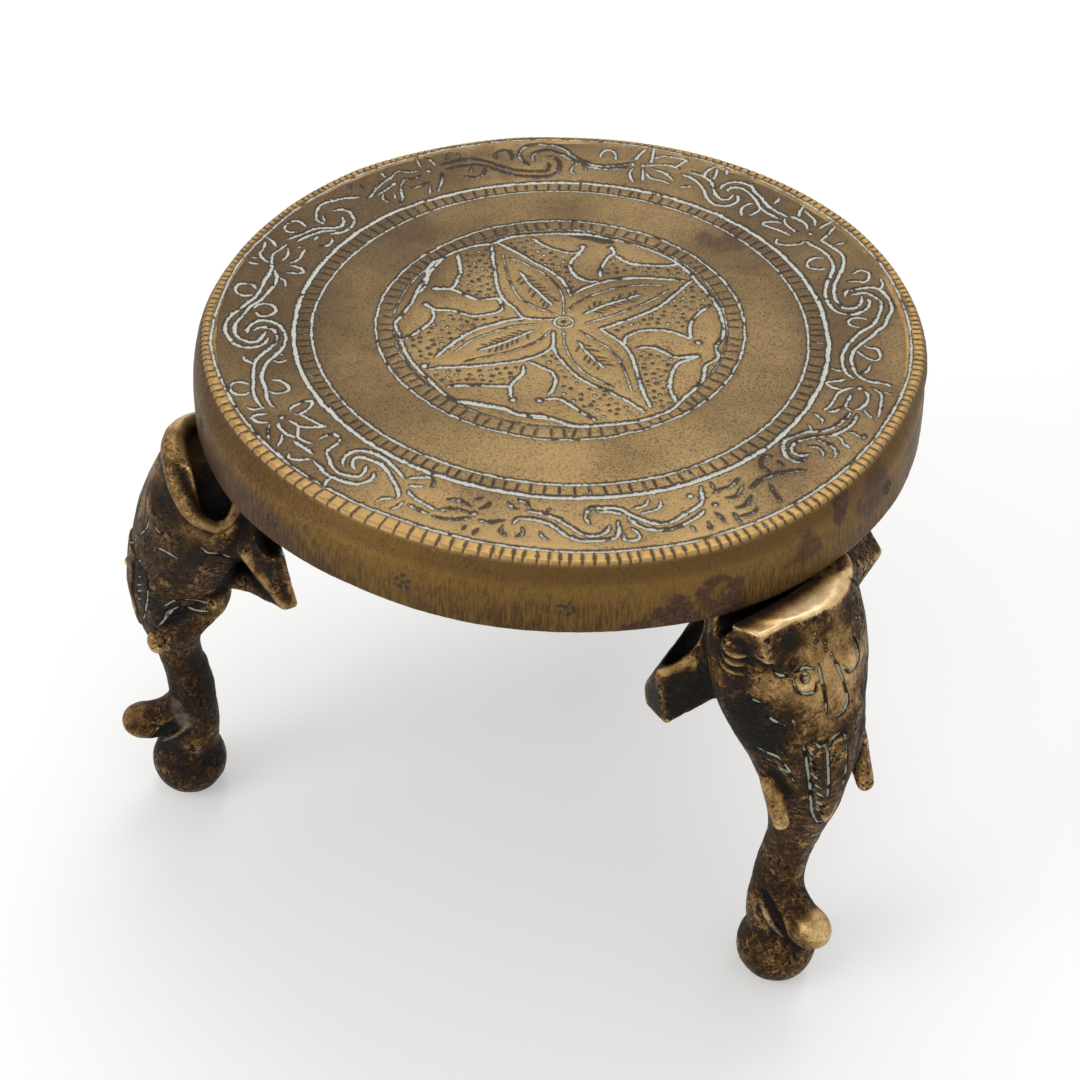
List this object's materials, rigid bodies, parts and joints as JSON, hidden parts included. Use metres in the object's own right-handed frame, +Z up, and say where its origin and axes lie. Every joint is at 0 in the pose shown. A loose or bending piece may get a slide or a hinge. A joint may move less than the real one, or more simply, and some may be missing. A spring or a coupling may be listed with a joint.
{
  "type": "low table",
  "caption": "Small round low table of cast brass: flat engraved top with a deep skirt, on elephant-head legs whose trunks curl over ball feet.",
  "frame": {"origin": "on the floor, in the middle of the footprint of the whole table's bounding box; the round top's axis stands 15 mm from it, towards -Y", "axes": "+Z up; +Y towards the rear leg; the two front legs reach out to +X and -X and a little to -Y"},
  "size_m": [0.2236, 0.2368, 0.16],
  "materials": {
    "top_brass": "worn and aged, engraved lines filled with pale residue",
    "leg_brass": "dark aged cast brass, rubbed bright on high spots",
    "screw_brass": "dull turned brass"
  },
  "bodies": {
    "root": {"table_top": "top_brass", "leg_rear": "leg_brass", "leg_left": "leg_brass", "leg_right": "leg_brass", "leg_screw_rear_1": "screw_brass", "leg_screw_rear_2": "screw_brass", "leg_screw_left_1": "screw_brass", "leg_screw_left_2": "screw_brass", "leg_screw_right_1": "screw_brass", "leg_screw_right_2": "screw_brass"}
  },
  "joints": []
}
